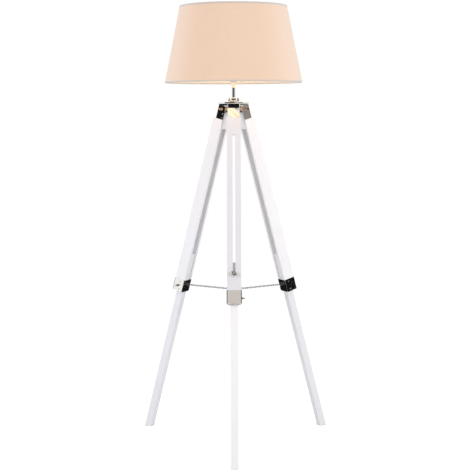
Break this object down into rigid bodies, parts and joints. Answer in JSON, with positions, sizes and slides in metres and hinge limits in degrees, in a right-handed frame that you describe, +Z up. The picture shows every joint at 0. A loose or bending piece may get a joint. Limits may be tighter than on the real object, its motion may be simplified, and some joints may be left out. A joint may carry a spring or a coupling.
{
  "type": "tripod floor lamp",
  "caption": "Floor lamp on a folding tripod of telescopic white wooden legs, with a polished hub, a chain spreader and a tapered fabric drum shade.",
  "frame": {"origin": "on the floor, straight under the axis of the neck, hub and shade", "axes": "+Z up; the front leg points along -Y, and the other two legs point back to the right and to the left"},
  "size_m": [0.639, 0.587, 1.44],
  "materials": {
    "chrome": "polished chrome plate",
    "zinc": "bright zinc-plated steel",
    "chain_steel": "nickel-plated small chain, slightly dull",
    "white_wood": "solid wood, painted satin white",
    "fabric": "fine woven fabric laminated on a lining, cream",
    "lining": "translucent white lampshade lining",
    "white_wire": "white powder-coated wire",
    "white_plastic": "heat-resistant white plastic",
    "ivory_plastic": "insulating contact block",
    "dark_plastic": "dark rubbery bush",
    "brass": "plain brass",
    "nickel": "nickel-plated bulb cap",
    "opal_glass": "opal glass, lit warm white"
  },
  "bodies": {
    "head": {"hub_yoke": "chrome", "hub_plate": "chrome", "hub_screws": "zinc", "hub_nuts": "zinc", "cord_grommet": "dark_plastic", "neck_base": "chrome", "neck_tube": "chrome", "holder_cap": "white_plastic", "holder_body": "white_plastic", "socket_insert": "ivory_plastic", "socket_sleeve": "brass", "shade_carrier": "white_wire", "shade_top_wire": "white_wire", "shade_liner": "lining", "shade_cover": "fabric", "pivot_bolts": "zinc", "pivot_nuts": "zinc"},
    "shade_ring": {"shade_ring": "white_plastic"},
    "bulb": {"bulb_globe": "opal_glass", "bulb_cap": "nickel"},
    "chain_ring": {"chain_ring": "chain_steel"},
    "leg_front": {"upper_leg_front": "white_wood", "top_bracket_front": "chrome", "bracket_screws_front": "zinc", "clamp_bracket_front": "chrome", "guide_plate_front": "chrome", "eye_screw_front": "zinc"},
    "slider_front": {"lower_leg_front": "white_wood", "slide_bolt_front": "zinc", "slide_washer_front": "zinc"},
    "wing_nut_front": {"wing_nut_front": "zinc"},
    "thumb_screw_front": {"thumb_screw_front": "zinc"},
    "chain_front": {"chain_front": "chain_steel"},
    "leg_right": {"upper_leg_right": "white_wood", "top_bracket_right": "chrome", "bracket_screws_right": "zinc", "clamp_bracket_right": "chrome", "guide_plate_right": "chrome", "eye_screw_right": "zinc"},
    "slider_right": {"lower_leg_right": "white_wood", "slide_bolt_right": "zinc", "slide_washer_right": "zinc"},
    "wing_nut_right": {"wing_nut_right": "zinc"},
    "thumb_screw_right": {"thumb_screw_right": "zinc"},
    "chain_right": {"chain_right": "chain_steel"},
    "leg_left": {"upper_leg_left": "white_wood", "top_bracket_left": "chrome", "bracket_screws_left": "zinc", "clamp_bracket_left": "chrome", "guide_plate_left": "chrome", "eye_screw_left": "zinc"},
    "slider_left": {"lower_leg_left": "white_wood", "slide_bolt_left": "zinc", "slide_washer_left": "zinc"},
    "wing_nut_left": {"wing_nut_left": "zinc"},
    "thumb_screw_left": {"thumb_screw_left": "zinc"},
    "chain_left": {"chain_left": "chain_steel"}
  },
  "joints": [
    {"name": "fold_front", "type": "hinge", "parent": "head", "child": "leg_front", "pos_m": [0, -0.038, 1.1065], "axis": [1, 0, 0], "range_deg": [0, 14]},
    {"name": "fold_right", "type": "hinge", "parent": "head", "child": "leg_right", "pos_m": [0.03291, 0.019, 1.1065], "axis": [-0.5, 0.866, 0], "range_deg": [0, 14]},
    {"name": "fold_left", "type": "hinge", "parent": "head", "child": "leg_left", "pos_m": [-0.03291, 0.019, 1.1065], "axis": [-0.5, -0.866, 0], "range_deg": [0, 14]},
    {"name": "slide_front", "type": "slide", "parent": "leg_front", "child": "slider_front", "axis": [0, 0.274, 0.9617], "range_m": [0, 0.4]},
    {"name": "slide_right", "type": "slide", "parent": "leg_right", "child": "slider_right", "axis": [-0.2373, -0.137, 0.9617], "range_m": [0, 0.4]},
    {"name": "slide_left", "type": "slide", "parent": "leg_left", "child": "slider_left", "axis": [0.2373, -0.137, 0.9617], "range_m": [0, 0.4]},
    {"name": "turn_wing_nut_front", "type": "hinge", "parent": "slider_front", "child": "wing_nut_front", "pos_m": [0, -0.20792, 0.5903], "axis": [0, -0.9617, 0.274], "range_deg": [0, 180]},
    {"name": "turn_wing_nut_right", "type": "hinge", "parent": "slider_right", "child": "wing_nut_right", "pos_m": [0.18006, 0.10396, 0.5903], "axis": [0.8329, 0.4809, 0.274], "range_deg": [0, 180]},
    {"name": "turn_wing_nut_left", "type": "hinge", "parent": "slider_left", "child": "wing_nut_left", "pos_m": [-0.18006, 0.10396, 0.5903], "axis": [-0.8329, 0.4809, 0.274], "range_deg": [0, 180]},
    {"name": "turn_thumb_screw_front", "type": "hinge", "parent": "leg_front", "child": "thumb_screw_front", "pos_m": [0.024, -0.20978, 0.51077], "axis": [1, 0, 0], "range_deg": [0, 180]},
    {"name": "turn_thumb_screw_right", "type": "hinge", "parent": "leg_right", "child": "thumb_screw_right", "pos_m": [0.16967, 0.12567, 0.51077], "axis": [-0.5, 0.866, 0], "range_deg": [0, 180]},
    {"name": "turn_thumb_screw_left", "type": "hinge", "parent": "leg_left", "child": "thumb_screw_left", "pos_m": [-0.19367, 0.0841, 0.51077], "axis": [-0.5, -0.866, 0], "range_deg": [0, 180]},
    {"name": "hang_chain_front", "type": "hinge", "parent": "leg_front", "child": "chain_front", "pos_m": [0, -0.18148, 0.51155], "axis": [-1, 0, 0], "range_deg": [0, 95.1], "deforming": ["chain_front"]},
    {"name": "hang_chain_right", "type": "hinge", "parent": "leg_right", "child": "chain_right", "pos_m": [0.15717, 0.09074, 0.51155], "axis": [0.5, -0.866, 0], "range_deg": [0, 95.1], "deforming": ["chain_right"]},
    {"name": "hang_chain_left", "type": "hinge", "parent": "leg_left", "child": "chain_left", "pos_m": [-0.15717, 0.09074, 0.51155], "axis": [0.5, 0.866, 0], "range_deg": [0, 95.1], "deforming": ["chain_left"]},
    {"name": "lower_chain_ring", "type": "slide", "parent": "head", "child": "chain_ring", "axis": [0, 0, -1], "range_m": [0, 0.187]},
    {"name": "turn_shade_ring", "type": "hinge", "parent": "head", "child": "shade_ring", "pos_m": [0, 0, 1.24], "axis": [0, 0, 1], "range_deg": [0, 360]},
    {"name": "turn_bulb", "type": "hinge", "parent": "head", "child": "bulb", "pos_m": [0, 0, 1.25], "axis": [0, 0, 1], "range_deg": [0, 360]}
  ],
  "couplings": [
    {"joint": "fold_right", "follows": "fold_front", "ratio": 1},
    {"joint": "fold_left", "follows": "fold_front", "ratio": 1},
    {"joint": "hang_chain_front", "follows": "fold_front", "ratio": 6.781},
    {"joint": "hang_chain_right", "follows": "fold_front", "ratio": 6.781},
    {"joint": "hang_chain_left", "follows": "fold_front", "ratio": 6.781},
    {"joint": "lower_chain_ring", "follows": "fold_front", "m_per_rad": 0.76021}
  ]
}
